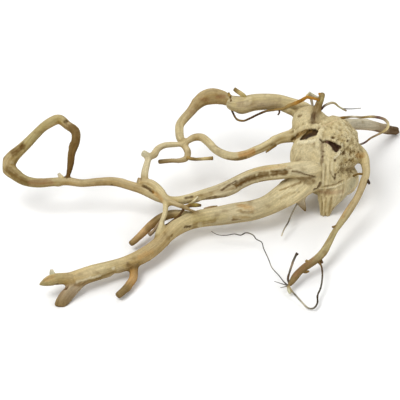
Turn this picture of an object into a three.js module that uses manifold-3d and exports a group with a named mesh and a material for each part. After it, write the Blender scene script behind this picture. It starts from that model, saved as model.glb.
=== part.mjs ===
// Spiderwood root: a dried azalea root for an aquarium or terrarium, one grown piece of wood.
// Millimetres, +Z up. The origin is the middle of the flat foot under the crown.
// X runs along the roots, from the looped end on the left to the crown on the right.
import * as THREE from "three";
import { mergeGeometries, mergeVertices } from "three/addons/utils/BufferGeometryUtils.js";
import Module from "manifold-3d";

const kernel = await Module();
kernel.setup();
const { Manifold, Mesh } = kernel;

// Driving sizes.
const STEP_LENGTH = 9;         // spacing of the rings along a root
const THICK = 9;               // a root of this radius or more gets the most sides
const OVAL = 0.05;             // how far a root is out of round
const BARK_WAVE = 0.03;        // slow swelling and thinning along a root
const CROWN_AROUND = 34;       // facets round the crown
const CROWN_UP = 24;           // facets up the crown
const WOOD_COLOUR = 0xb5a178;

// Each root is a list of [x, y, z, radius], from where it leaves its parent to its end.
const ROOTS = {
  greatRoot: [
    [4, 50, 56, 22], [-8, 34, 50, 22], [-25, 18, 44, 19.5], [-42, 3, 37, 16], [-59, -10, 33, 13.4],
    [-76, -22.5, 30.3, 12], [-95, -31, 28.6, 11.9], [-114, -35, 28, 11.6], [-136, -40, 27, 11.3],
    [-159, -43, 25, 10.8], [-177, -49, 23, 10.2], [-195, -65, 20.5, 9.6], [-212, -92, 18.5, 9.2],
    [-230, -110.5, 17.2, 9.1], [-247, -121.5, 16.3, 8.9], [-264, -128.5, 16, 8.4], [-281, -138, 17, 8.9],
    [-298, -148.5, 18.3, 8.5], [-313, -155, 19, 7.8]],
  forkFoot: [
    [-262, -133, 12, 4.4], [-280, -143, 12.5, 5], [-294.5, -150.5, 13, 6], [-304, -160, 11, 7],
    [-311, -168, 8, 7.4], [-316.5, -176, 4, 7.4], [-319.5, -181, -2, 7.4]],
  forkSnag: [
    [-306, -154, 19.5, 7], [-320, -156, 21, 6.4], [-330, -160, 22, 6], [-337, -163.5, 21.5, 4.2],
    [-344, -166.5, 20, 1.6]],
  snagSpur: [[-327, -157, 22, 4.4], [-329.5, -152, 26.5, 3], [-330, -149, 29, 1.8]],
  lowStub: [
    [-235, -117, 15, 5.7], [-236.5, -128, 12, 5.1], [-236.3, -140, 9.5, 5], [-241.5, -151, 7.6, 4.6],
    [-247, -161, 7, 4.4], [-253.5, -170, 6.8, 4.2]],
  backStub: [
    [-168, -43, 28, 6.1], [-181, -38, 28, 5.4], [-193, -35, 26, 5.4], [-205, -38, 23.3, 5.5],
    [-216, -45, 19.5, 5], [-225, -55, 16, 4.7], [-234, -66, 12.7, 4.4], [-242.5, -75.5, 10, 4.1]],
  middleRoot: [
    [0, 40, 58, 14], [-15, 20, 61, 13.5], [-31, 8.5, 63, 11.8], [-45, 6, 64, 10.2], [-60, 4.5, 62.6, 9.7],
    [-77, 3.5, 60.8, 9], [-94, 0.5, 58, 8.5], [-109, -6.5, 54.8, 8.7], [-123, -14, 51, 8.6],
    [-139, -19, 48, 7.4], [-156, -21, 45, 6.1], [-171, -25, 43, 5.6], [-187, -29, 42, 5.3],
    [-201, -27, 42, 5.4], [-214, -19, 43, 5.5], [-229, -8, 44, 5.8], [-245, -2, 46, 5.6],
    [-264, 5, 47, 5.3], [-285, 3, 48, 5], [-305, -1, 49, 4.8], [-323, 2, 50, 5.1],
    [-342, 0, 50, 5.2], [-359, -2, 50, 5.8], [-375, 0, 52, 6.6], [-388, 8, 56, 7.6],
    [-397.5, 17, 62, 8.8], [-392.5, 25.5, 69, 7.7], [-380.5, 32.5, 78, 6.4], [-364, 41.5, 92.2, 5.6],
    [-354.5, 48, 99.3, 5.3], [-345, 51, 105, 5.6], [-334, 55.5, 107.6, 5.9], [-324, 50, 102, 5.4],
    [-314, 45, 96, 5.5], [-313.6, 38, 86, 5.1], [-318.2, 27, 75, 4.3], [-319.2, 18, 66, 4],
    [-321, 10, 58, 3.1], [-324, 4, 51, 2.5]],
  loopSpur: [[-329, 2, 53, 3.1], [-332, 5, 56, 2.4], [-334, 7, 58, 1.8]],
  forkArm: [
    [-233, 1, 48, 5], [-223, -2, 49.5, 6], [-214, -9, 48.5, 6.2], [-205.5, -20, 46.3, 5.9],
    [-199.5, -31, 44, 5], [-189, -38, 44, 3.2], [-178, -44, 43, 2.8], [-169, -47, 40, 2],
    [-160, -46, 37, 1.6]],
  armTwig: [
    [-178, -45, 42, 1.8], [-181, -47, 37, 1.5], [-187, -51, 32, 1.5], [-195, -56, 28, 1.5],
    [-203, -63, 27, 1.5]],
  armWedge: [[-178, -44, 43, 2.2], [-170, -40, 42.5, 2.2], [-163, -37, 41, 2.4], [-157, -36, 40, 1.4]],
  forkProp: [
    [-204, -24, 46, 3.7], [-201, -36, 42, 3.7], [-201, -49, 38, 3.2], [-204, -60, 34, 3],
    [-206, -69, 30, 3.7], [-210, -78, 24, 4.8]],
  pinkStub: [[-204, -58, 34, 2.1], [-210, -66, 30, 2.1], [-215, -71, 26, 2], [-220, -75, 24, 2.5]],
  uprightTwig: [
    [-225.5, -4, 47, 4.7], [-227.5, 7, 50, 4.8], [-227, 15, 55, 4.3], [-225, 23, 60, 4.1],
    [-223, 32, 64, 4.1]],
  twigStub: [[-221, 33, 64, 4.2], [-226.5, 36, 67, 4.3], [-231.5, 37, 69.5, 3.9]],
  wavyRoot: [
    [-13, 77, 76, 10], [-32, 69, 76, 8.9], [-46, 64, 76, 7.5], [-57, 61, 75, 6.3],
    [-69, 52, 74, 6], [-81, 44, 72, 5.8], [-91, 38, 71, 5.5], [-101, 32, 70, 5.4],
    [-115, 29, 69, 5.4], [-128, 35, 68, 5.3], [-140, 47, 68, 5], [-148, 61, 69, 4.9],
    [-157, 72, 70, 4.8], [-166, 73, 69, 4.5], [-175, 67, 67, 3.9], [-183, 62, 66, 3.5],
    [-194, 61, 66, 3.7], [-204, 59, 66, 3.8], [-212, 52, 65, 3.9], [-216, 41, 64, 4.4],
    [-222, 33, 64, 4]],
  wavySplinter: [[-63, 51, 72, 2], [-72, 43, 69.5, 1.4], [-76, 39.5, 68, 1]],
  upperRoot: [
    [-11, 83, 88, 13], [-27, 98, 93, 12], [-43, 105, 96.5, 10.8], [-58, 110.5, 99, 10],
    [-75, 111.5, 99, 10.4], [-90, 111.5, 97.8, 10.7], [-103, 109, 96, 10.9], [-113, 113, 95, 10.4],
    [-118, 119, 94, 9]],
  upperBend: [
    [-106, 115, 94, 7], [-121, 127, 92, 7.7], [-131, 136, 91, 9.8], [-142, 140, 90.3, 10.8],
    [-153, 139, 88, 9.6], [-162, 132, 84.2, 7.5], [-171, 120, 79, 6], [-179, 111, 74, 5.8],
    [-184.3, 102, 71, 5.4], [-185, 89, 68, 5.1], [-183.3, 74, 66, 4.7], [-179, 63, 64, 4.2],
    [-174, 54, 59, 4.4], [-176, 47, 54, 3.9], [-184, 45, 52, 3.1], [-195, 48, 50, 2.8],
    [-205, 48, 49, 2.8], [-212, 48, 48, 3]],
  breakKnob: [[-94, 112, 92, 7.7], [-103, 110, 88, 6.4], [-110, 105, 86, 3.2]],
  topSpur: [[-99, 110, 103, 3.6], [-104, 115, 107, 3], [-114.5, 123, 111, 2.5]],
  hookTwig: [[-175, 46, 56, 2.5], [-167, 41, 57, 2.1], [-155, 40, 58, 2], [-142, 40, 59, 2.4]],
  backRoot: [
    [7, 77, 72, 12], [27, 104, 68, 8.6], [45, 123, 58, 6.9], [64, 147, 42, 6.9],
    [82, 165, 27, 6.1], [98, 179, 14, 5.5], [113, 192, 4, 5.2]],
  downRoot: [
    [30, 66, 62, 10.5], [44, 51, 58.5, 9], [48.5, 41, 57, 6.6], [49.5, 29, 54, 5.1],
    [49, 16, 51, 4.5], [45, 6, 46, 5], [37, -14, 40, 4.5], [28, -30, 35, 4.4],
    [19, -45, 31, 4.2], [11, -58, 28, 3.8], [4, -69, 25, 3.5], [-5, -88, 21, 3.9],
    [-13, -104, 18, 4.6], [-23, -116, 16, 4.7], [-32, -123, 14, 4.7], [-40, -130, 12.5, 4.2],
    [-47, -139, 11, 4.1], [-52, -148, 9.6, 3.1], [-56, -154, 8.6, 2]],
  downSpurA: [[11, -58, 28, 2.4], [6, -63, 28, 1.7], [1, -66, 29, 1.1]],
  downSpurB: [[-28, -121, 16, 2.4], [-32, -120, 18, 1.8], [-34, -119, 19.5, 1.3]],
  downSpurC: [[-20, -110, 14, 3], [-15, -113, 13, 2.4], [-13.5, -115, 12, 1.4]],
  downSpurD: [[-38, -128, 11, 2.4], [-34, -129, 10, 1.8], [-30, -128, 10, 1.1]],
  sideHook: [[50, 13, 50, 2.2], [43, 16, 47, 1.6], [38, 20, 44, 1.6], [31, 22, 42, 2]],
  sideKnob: [[48, 10, 48, 2.6], [51, 3, 47, 1.7], [51.5, 1, 46, 1.2]],
  breakRootlet: [
    [-8, 80, 120, 1.6], [-18, 82, 122, 1.8], [-24, 85, 121, 2], [-29, 86, 117, 2.2],
    [-37, 89, 110.5, 2.2], [-44, 94, 104, 2.1], [-52, 98, 97, 1.8], [-62, 100, 94, 1.5],
    [-74, 101, 91, 1.4], [-85, 99, 87, 1.3], [-96, 97, 82, 1.2], [-103, 97, 79, 1.2],
    [-111, 101, 79, 1.2], [-116, 111, 83, 1.2], [-121, 122, 89, 1.3]],
  rootletNib: [[-57, 99, 95, 1.3], [-57, 96, 92, 1.1], [-59, 92, 91, 1]],
  stick: [
    [-14, 58, 99, 4], [-15, 65, 104, 4.6], [-12, 74, 108, 4.8], [-8.8, 81, 113, 4.4],
    [-6, 84, 120, 4], [-4.2, 86, 127.5, 3.5]],
  tipBud: [[-56, -154, 8.5, 1.7], [-55, -159, 6, 1.9], [-54, -163, 5, 1.5]],
  archTwig: [[-14, 82, 96, 2.2], [-16, 86, 108, 1.6], [-18, 89, 117, 1.7], [-20, 91, 124, 1.8]],
  tentTwig: [[-19, 91, 125, 1.6], [-24, 88, 120.5, 1.9]],
  tentTwigRight: [[-21, 92, 124, 1.6], [-13, 87, 121, 1.6], [-6, 85, 118, 1.5]],
  rightRootlet: [
    [-9, 82, 101, 1.8], [-1, 83, 110, 1.5], [6, 83, 114, 1.5], [11, 83, 114, 1.3],
    [16, 82, 110, 1.1], [22, 82, 106, 1.1], [27, 82, 103, 1]],
  archingRootlet: [
    [7, 72, 90, 2.8], [15, 69, 99, 1.9], [24, 68, 102, 1.6], [34, 68, 103, 1.4],
    [45, 68, 102, 1.4], [56, 73, 100, 1.5], [67, 78, 96, 1.6], [76, 81, 91, 1.7],
    [81, 83, 84, 1.8], [81, 81, 79, 1.8], [76, 78, 75, 1.5], [69, 76, 72, 1.3],
    [59, 70, 70, 1.2], [50, 62, 68, 1.2], [40, 58, 66, 1.2]],
  lowLoop: [
    [-20, -114, 15, 1.6], [-16, -121, 14, 1.1], [-15, -131, 12.5, 1.1], [-16, -144, 11, 1],
    [-19, -159, 9, 1], [-23, -170, 7.5, 1], [-24, -181, 5.5, 1], [-27, -187, 4.2, 1.1],
    [-31, -189, 3.4, 1.1], [-36, -187, 3.8, 1], [-42, -178, 5, 0.9], [-48, -169, 6.5, 0.9],
    [-53, -160, 7.6, 1], [-56, -153, 8.8, 1.2]],
  tipStick: [
    [-54, -151, 9.4, 1.6], [-56, -145, 12, 1.4], [-53, -136, 18, 1.2], [-49, -126, 24, 1.3],
    [-46, -121, 28, 1.4], [-44, -119, 30, 1.9]],
  underRootlet: [
    [-12, 22, 30, 2], [-21, 16, 24.5, 1.5], [-28, 10, 22, 1.4], [-36, -1, 19, 1],
    [-41, -11, 17, 0.9], [-45, -20, 15, 0.9]],
  crownSpike: [
    [-32, 10, 38, 10], [-34.5, 1, 30, 8], [-33, 0, 22, 6.2], [-29, 0, 12.5, 3.9],
    [-25.3, 0, 4.2, 1.4]],
  rearStub: [[2, 84, 44, 13], [-2, 97, 34, 9.5], [-6, 107, 25, 7.2], [-8, 113, 18, 6.2]],
  underStub: [[22, 62, 24, 12], [26, 66, 12, 8], [28, 70, 5, 5.6]],
};

// The crown grew from rounded swellings: [x, y, z, radius in x, radius in y, radius in z].
const CROWN_MIDDLE = new THREE.Vector3(2, 52, 60);
const SWELLINGS = [
  [0, 52, 56, 35, 42, 48],
  [-19, 78, 84, 23, 26, 25],
  [-19, 37, 64, 26.2, 28, 31],
  [16, 57, 75, 25, 30, 29],
  [25, 52, 62, 20.5, 27, 17.5],
  [19, 34, 32, 24, 24, 20.4],
  [-2, 30, 40, 26, 24, 24],
];
const SWELLING_BLEND = 9;      // a high figure gives sharper valleys between swellings

// The foot under the crown: outline of the leg at a few heights, [z, x, y, half width, half depth].
const FOOT_RINGS = [
  [-3, -0.5, 0.5, 7.2, 6], [3, -1, 1, 7.6, 6], [10, 0.9, 3, 9.8, 7], [16, 3.5, 6, 13, 9],
  [23, 7, 11, 18, 12], [30, 10, 17, 24, 15], [38, 9, 26, 25, 18],
];

// Hollows worn into the crown: [x, y, z, radii, turn about the line of sight].
const HOLLOWS = [
  { at: [-23, 36, 96], size: [11.5, 13, 5.2], turn: -0.45 },
  { at: [9.5, 24.5, 86], size: [8, 11.5, 4.8], turn: 0.65 },
];

// One closed solid from a three.js geometry, with its seams merged.
function solidOf(geometry) {
  const bare = new THREE.BufferGeometry();
  bare.setAttribute("position", geometry.getAttribute("position").clone());
  bare.setIndex(geometry.getIndex() ? geometry.getIndex().clone() : null);
  const closed = mergeVertices(bare, 1e-4);
  const mesh = new Mesh({
    numProp: 3,
    vertProperties: new Float32Array(closed.getAttribute("position").array),
    triVerts: new Uint32Array(closed.getIndex().array),
  });
  return new Manifold(mesh);
}

// Radius at a place along the root, between the two nearest knots.
function radiusAt(knots, t) {
  const place = t * (knots.length - 1);
  const low = Math.min(Math.floor(place), knots.length - 2);
  return THREE.MathUtils.lerp(knots[low][3], knots[low + 1][3], place - low);
}

// A root: a cylinder bent along a curve through its knots.
function rootSolid(knots, seed) {
  const curve = new THREE.CatmullRomCurve3(
    knots.map(([x, y, z]) => new THREE.Vector3(x, y, z)), false, "centripetal");
  const widest = Math.max(...knots.map((knot) => knot[3]));
  const sides = widest > THICK ? 10 : widest > 5 ? 8 : widest > 3 ? 6 : 5;
  const spacing = widest > THICK ? STEP_LENGTH : STEP_LENGTH * 0.9;
  const steps = Math.max(3, Math.round(curve.getLength() / spacing));
  const frames = curve.computeFrenetFrames(steps, false);
  const tube = new THREE.CylinderGeometry(1, 1, 1, sides, steps, false);
  const spots = tube.getAttribute("position");
  const spot = new THREE.Vector3();
  for (let i = 0; i < spots.count; i += 1) {
    spot.fromBufferAttribute(spots, i);
    const ring = Math.round((0.5 - spot.y) * steps);
    const along = ring / steps;
    const turn = Math.atan2(spot.z, spot.x);
    const wave = 1 + BARK_WAVE * Math.sin(along * curve.getLength() / 11 + seed * 2.3);
    const oval = 1 + OVAL * Math.cos(2 * turn + seed + along * 4);
    const out = radiusAt(knots, curve.getUtoTmapping(along)) * wave * oval;
    const across = frames.normals[ring].clone().multiplyScalar(spot.x * out);
    const beside = frames.binormals[ring].clone().multiplyScalar(spot.z * out);
    spot.copy(curve.getPointAt(along)).add(across).add(beside);
    spots.setXYZ(i, spot.x, spot.y, spot.z);
  }
  return solidOf(tube);
}

// How far a ray from the crown's middle runs before it leaves one swelling.
function reach(ray, swelling) {
  const [x, y, z, a, b, c] = swelling;
  const from = new THREE.Vector3(
    (CROWN_MIDDLE.x - x) / a, (CROWN_MIDDLE.y - y) / b, (CROWN_MIDDLE.z - z) / c);
  const along = new THREE.Vector3(ray.x / a, ray.y / b, ray.z / c);
  const size = along.dot(along);
  const half = from.dot(along);
  const left = half * half - size * (from.dot(from) - 1);
  return left > 0 ? Math.max(0.001, (Math.sqrt(left) - half) / size) : 0.001;
}

// The crown: a sphere pushed out to the blended swellings, with a knobbly skin.
function crownSolid() {
  const ball = new THREE.SphereGeometry(1, CROWN_AROUND, CROWN_UP);
  ball.rotateX(Math.PI / 2);
  const spots = ball.getAttribute("position");
  const ray = new THREE.Vector3();
  for (let i = 0; i < spots.count; i += 1) {
    ray.fromBufferAttribute(spots, i).normalize();
    let sum = 0;
    for (const swelling of SWELLINGS) {
      sum += reach(ray, swelling) ** SWELLING_BLEND;
    }
    let out = sum ** (1 / SWELLING_BLEND);
    const rough = Math.max(0, Math.min(1, 0.5 + ray.x * 1.6));
    out += rough * 1.3 * Math.sin(ray.x * 17 + ray.z * 5) * Math.sin(ray.y * 15 - ray.z * 13);
    out += 1.1 * Math.sin(ray.x * 7 + 2) * Math.cos(ray.z * 8 + ray.y * 3);
    ray.multiplyScalar(out).add(CROWN_MIDDLE);
    spots.setXYZ(i, ray.x, ray.y, ray.z);
  }
  return solidOf(ball);
}

// The foot: a cylinder whose rings follow the leg's outline down to the ground.
function footSolid() {
  const sides = 12;
  const leg = new THREE.CylinderGeometry(1, 1, 1, sides, FOOT_RINGS.length - 1, false);
  const spots = leg.getAttribute("position");
  for (let i = 0; i < spots.count; i += 1) {
    const ring = Math.round((spots.getY(i) + 0.5) * (FOOT_RINGS.length - 1));
    const [z, x, y, wide, deep] = FOOT_RINGS[ring];
    spots.setXYZ(i, x + spots.getX(i) * wide, y - spots.getZ(i) * deep, z);
  }
  return solidOf(leg);
}

// A hollow: a stretched ball sunk into the side of the crown that faces forward and up.
function hollowSolid({ at, size, turn }) {
  const ball = new THREE.SphereGeometry(1, 12, 8);
  ball.scale(size[0], size[1], size[2]);
  ball.rotateY(turn);
  ball.rotateX(THREE.MathUtils.degToRad(-35));
  ball.translate(at[0], at[1], at[2]);
  return solidOf(ball);
}

let wood = crownSolid().add(footSolid());
Object.values(ROOTS).forEach((knots, index) => {
  wood = wood.add(rootSolid(knots, index));
});
const belowGround = new THREE.BoxGeometry(700, 700, 40);
belowGround.translate(-140, 0, -20);
wood = wood.subtract(solidOf(belowGround));
for (const hollow of HOLLOWS) {
  wood = wood.subtract(hollowSolid(hollow));
}

const result = wood.getMesh();
const skin = new THREE.BufferGeometry();
skin.setAttribute("position", new THREE.BufferAttribute(result.vertProperties, result.numProp));
skin.setIndex(new THREE.BufferAttribute(result.triVerts, 1));
skin.computeVertexNormals();

const spiderwood = new THREE.Mesh(
  mergeGeometries([skin]),
  new THREE.MeshStandardMaterial({ color: WOOD_COLOUR, roughness: 0.85, metalness: 0 }));
spiderwood.name = "spiderwood_root";

const part = new THREE.Group();
part.name = "spiderwood_root_part";
part.add(spiderwood);

export default part;
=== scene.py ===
import math

import bmesh
import bpy
import numpy as np
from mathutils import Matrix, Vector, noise


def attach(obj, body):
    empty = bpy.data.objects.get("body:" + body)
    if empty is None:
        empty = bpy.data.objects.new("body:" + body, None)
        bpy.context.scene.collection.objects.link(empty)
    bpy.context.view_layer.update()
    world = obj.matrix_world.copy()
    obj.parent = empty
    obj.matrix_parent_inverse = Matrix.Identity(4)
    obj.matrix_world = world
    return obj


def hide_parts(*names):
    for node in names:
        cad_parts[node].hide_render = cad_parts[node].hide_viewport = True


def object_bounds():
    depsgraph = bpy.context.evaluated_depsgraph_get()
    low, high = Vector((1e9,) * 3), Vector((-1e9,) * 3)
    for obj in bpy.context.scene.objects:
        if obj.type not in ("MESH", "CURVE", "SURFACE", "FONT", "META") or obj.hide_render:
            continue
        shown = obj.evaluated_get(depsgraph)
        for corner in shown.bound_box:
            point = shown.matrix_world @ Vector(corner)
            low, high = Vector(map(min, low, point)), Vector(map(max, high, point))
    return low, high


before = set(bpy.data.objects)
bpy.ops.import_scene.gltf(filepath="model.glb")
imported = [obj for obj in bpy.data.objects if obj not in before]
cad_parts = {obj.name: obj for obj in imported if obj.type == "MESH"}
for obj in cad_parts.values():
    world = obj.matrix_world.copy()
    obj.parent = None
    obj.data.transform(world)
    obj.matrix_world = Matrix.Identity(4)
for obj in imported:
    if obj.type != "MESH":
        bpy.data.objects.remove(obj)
cad_low, cad_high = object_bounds()

# The thick roots: bare azalea wood, 3 to 44 mm through. They grew out of the crown and out of each
# other, so each is a tube bent along its own line, with its start sunk in the wood that carries it.
MM = 0.001
RING_STEP = 2.5 * MM           # spacing of the rings along a root
THICK_ROOTS = {                # knots as [x, y, z, radius], in millimetres
    "great_root": [
        [4, 50, 56, 22], [-8, 34, 50, 22], [-25, 18, 44, 19.5], [-42, 3, 37, 16],
        [-59, -10, 33, 13.4], [-76, -22.5, 30.3, 12], [-95, -31, 28.6, 11.9], [-114, -35, 28, 11.6],
        [-136, -40, 27, 11.3], [-159, -43, 25, 10.8], [-177, -49, 23, 10.2], [-195, -65, 20.5, 9.6],
        [-212, -92, 18.5, 9.2],
        [-230, -110.5, 17.2, 9.1], [-247, -121.5, 16.3, 8.9], [-264, -128.5, 16, 8.4],
        [-281, -138, 17, 8.9], [-298, -148.5, 18.3, 8.5], [-313, -155, 19, 7.8]],
    "fork_foot": [
        [-262, -133, 12, 4.4], [-280, -143, 12.5, 5], [-294.5, -150.5, 13, 6], [-304, -160, 11, 7],
        [-311, -168, 8, 7.4], [-316.5, -176, 4, 7.4], [-319.5, -181, -2, 7.4]],
    "fork_snag": [
        [-306, -154, 19.5, 7], [-320, -156, 21, 6.4], [-330, -160, 22, 6], [-337, -163.5, 21.5, 4.2],
        [-344, -166.5, 20, 1.6]],
    "low_stub": [
        [-235, -117, 15, 5.7], [-236.5, -128, 12, 5.1], [-236.3, -140, 9.5, 5], [-241.5, -151, 7.6, 4.6],
        [-247, -161, 7, 4.4], [-253.5, -170, 6.8, 4.2]],
    "back_stub": [
        [-168, -43, 28, 6.1], [-181, -38, 28, 5.4], [-193, -35, 26, 5.4], [-205, -38, 23.3, 5.5],
        [-216, -45, 19.5, 5], [-225, -55, 16, 4.7], [-234, -66, 12.7, 4.4], [-242.5, -75.5, 10, 4.1]],
    "middle_root": [
        [0, 40, 58, 14], [-15, 20, 61, 13.5], [-31, 8.5, 63, 11.8], [-45, 6, 64, 10.2],
        [-60, 4.5, 62.6, 9.7], [-77, 3.5, 60.8, 9], [-94, 0.5, 58, 8.5], [-109, -6.5, 54.8, 8.7],
        [-123, -14, 51, 8.6],
        [-139, -19, 48, 7.4], [-156, -21, 45, 6.1], [-171, -25, 43, 5.6], [-187, -29, 42, 5.3],
        [-201, -27, 42, 5.4], [-214, -19, 43, 5.5], [-229, -8, 44, 5.8], [-245, -2, 46, 5.6],
        [-264, 5, 47, 5.3], [-285, 3, 48, 5], [-305, -1, 49, 4.8], [-323, 2, 50, 5.1],
        [-342, 0, 50, 5.2], [-359, -2, 50, 5.8], [-375, 0, 52, 6.6], [-388, 8, 56, 7.6],
        [-397.5, 17, 62, 8.8], [-392.5, 25.5, 69, 7.7], [-380.5, 32.5, 78, 6.4], [-364, 41.5, 92.2, 5.6],
        [-354.5, 48, 99.3, 5.3], [-345, 51, 105, 5.6], [-334, 55.5, 107.6, 5.9], [-324, 50, 102, 5.4],
        [-314, 45, 96, 5.5], [-313.6, 38, 86, 5.1], [-318.2, 27, 75, 4.3], [-319.2, 18, 66, 4],
        [-321, 10, 58, 3.1], [-324, 4, 51, 2.5]],
    "fork_arm": [
        [-233, 1, 48, 5], [-223, -2, 49.5, 6], [-214, -9, 48.5, 6.2], [-205.5, -20, 46.3, 5.9],
        [-199.5, -31, 44, 5], [-189, -38, 44, 3.2], [-178, -44, 43, 2.8], [-169, -47, 40, 2],
        [-160, -46, 37, 1.6]],
    "fork_prop": [
        [-204, -24, 46, 3.7], [-201, -36, 42, 3.7], [-201, -49, 38, 3.2], [-204, -60, 34, 3],
        [-206, -69, 30, 3.7], [-210, -78, 24, 4.8]],
    "upright_twig": [
        [-225.5, -4, 47, 4.7], [-227.5, 7, 50, 4.8], [-227, 15, 55, 4.3], [-225, 23, 60, 4.1],
        [-223, 32, 64, 4.1]],
    "twig_stub": [[-221, 33, 64, 4.2], [-226.5, 36, 67, 4.3], [-231.5, 37, 69.5, 3.9]],
    "wavy_root": [
        [-13, 77, 76, 10], [-32, 69, 76, 8.9], [-46, 64, 76, 7.5], [-57, 61, 75, 6.3],
        [-69, 52, 74, 6], [-81, 44, 72, 5.8], [-91, 38, 71, 5.5], [-101, 32, 70, 5.4],
        [-115, 29, 69, 5.4], [-128, 35, 68, 5.3], [-140, 47, 68, 5], [-148, 61, 69, 4.9],
        [-157, 72, 70, 4.8], [-166, 73, 69, 4.5], [-175, 67, 67, 3.9], [-183, 62, 66, 3.5],
        [-194, 61, 66, 3.7], [-204, 59, 66, 3.8], [-212, 52, 65, 3.9], [-216, 41, 64, 4.4],
        [-222, 33, 64, 4]],
    "upper_root": [
        [-11, 83, 88, 13], [-27, 98, 93, 12], [-43, 105, 96.5, 10.8], [-58, 110.5, 99, 10],
        [-75, 111.5, 99, 10.4], [-90, 111.5, 97.8, 10.7], [-103, 109, 96, 10.9], [-113, 113, 95, 10.4],
        [-118, 119, 94, 9]],
    "upper_bend": [
        [-106, 115, 94, 7], [-121, 127, 92, 7.7], [-131, 136, 91, 9.8], [-142, 140, 90.3, 10.8],
        [-153, 139, 88, 9.6], [-162, 132, 84.2, 7.5], [-171, 120, 79, 6], [-179, 111, 74, 5.8],
        [-184.3, 102, 71, 5.4], [-185, 89, 68, 5.1], [-183.3, 74, 66, 4.7], [-179, 63, 64, 4.2],
        [-174, 54, 59, 4.4], [-176, 47, 54, 3.9], [-184, 45, 52, 3.1], [-195, 48, 50, 2.8],
        [-205, 48, 49, 2.8], [-212, 48, 48, 3]],
    "break_knob": [[-94, 112, 92, 7.7], [-103, 110, 88, 6.4], [-110, 105, 86, 3.2]],
    "back_root": [
        [7, 77, 72, 12], [27, 104, 68, 8.6], [45, 123, 58, 6.9], [64, 147, 42, 6.9],
        [82, 165, 27, 6.1], [98, 179, 14, 5.5], [113, 192, 4, 5.2]],
    "down_root": [
        [30, 66, 62, 10.5], [44, 51, 58.5, 9], [48.5, 41, 57, 6.6], [49.5, 29, 54, 5.1],
        [49, 16, 51, 4.5], [45, 6, 46, 5], [37, -14, 40, 4.5], [28, -30, 35, 4.4],
        [19, -45, 31, 4.2], [11, -58, 28, 3.8], [4, -69, 25, 3.5], [-5, -88, 21, 3.9],
        [-13, -104, 18, 4.6], [-23, -116, 16, 4.7], [-32, -123, 14, 4.7], [-40, -130, 12.5, 4.2],
        [-47, -139, 11, 4.1], [-52, -148, 9.6, 3.1], [-56, -154, 8.6, 2]],
    "stick": [
        [-14, 58, 99, 3.4], [-15, 65, 104, 3.9], [-12, 74, 108, 4.4], [-8.8, 81, 113, 4.4],
        [-6, 84, 120, 4], [-4.2, 86, 127.5, 3.5]],
    "crown_spike": [
        [-32, 10, 38, 10], [-34.5, 1, 30, 8], [-33, 0, 22, 6.2], [-29, 0, 12.5, 3.9],
        [-25.3, 0, 4.2, 1.4]],
    "rear_stub": [[2, 84, 44, 13], [-2, 97, 34, 9.5], [-6, 107, 25, 7.2], [-8, 113, 18, 6.2]],
    "under_stub": [[22, 62, 24, 12], [26, 66, 12, 8], [28, 70, 5, 5.6]],
}
FLAT_ENDS = {"fork_foot": 0.4}  # how deep the far end is for its width
DRAWN_IN = 0.35 * MM           # how far the skin of a thick root is drawn in when it is smoothed
ROUND_SIDES = 28               # sides of a thick root's tube
CURVE_STEPS = 24               # places worked out between two knots
SWELLING_LENGTH = 11           # millimetres along a root for each radian of its slow swelling


def line_through(knots, step):
    """Rows of x, y, z and radius, a step apart on the smooth curve through the knots."""
    knots = np.array(knots, float) * MM
    before = 2 * knots[0] - knots[1]
    after = 2 * knots[-1] - knots[-2]
    before[3] = knots[0][3]
    after[3] = knots[-1][3]
    held = np.vstack([before, knots, after])
    spans = np.sqrt(np.linalg.norm(np.diff(held[:, :3], axis=0), axis=1))
    t = np.linspace(0, 1, CURVE_STEPS, endpoint=False)[:, None]
    pieces = []
    for i in range(1, len(held) - 2):
        a, b, c, d = held[i - 1:i + 3]
        lead, span, trail = spans[i - 1:i + 2]
        leave = ((b - a) / lead - (c - a) / (lead + span) + (c - b) / span) * span
        arrive = ((c - b) / span - (d - b) / (span + trail) + (d - c) / trail) * span
        bend = 3 * (c - b) - 2 * leave - arrive
        pieces.append(b + leave * t + bend * t**2 + (2 * (b - c) + leave + arrive) * t**3)
    fine = np.vstack(pieces + [knots[-1:]])
    walked = np.append(0, np.cumsum(np.linalg.norm(np.diff(fine[:, :3], axis=0), axis=1)))
    stops = np.linspace(0, walked[-1], max(4, round(walked[-1] / step)) + 1)
    return np.column_stack([np.interp(stops, walked, fine[:, k]) for k in range(4)])


def root_of(name, knots, seed, step):
    """A root's line with the direction ahead and two directions across it at every place."""
    line = line_through(knots, step)
    ahead = np.gradient(line[:, :3], axis=0)
    ahead /= np.linalg.norm(ahead, axis=1)[:, None]
    beside = np.empty_like(ahead)
    beside[0] = np.cross(ahead[0], (0.1, 0.2, 1))
    beside[0] /= np.linalg.norm(beside[0])
    for i in range(1, len(line)):
        turned = beside[i - 1] - ahead[i] * np.dot(beside[i - 1], ahead[i])
        beside[i] = turned / np.linalg.norm(turned)
    walked = np.append(0, np.cumsum(np.linalg.norm(np.diff(line[:, :3], axis=0), axis=1)))
    return {"name": name, "seed": seed, "line": line, "walked": walked,
            "ahead": ahead, "beside": beside, "over": np.cross(ahead, beside)}


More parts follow.
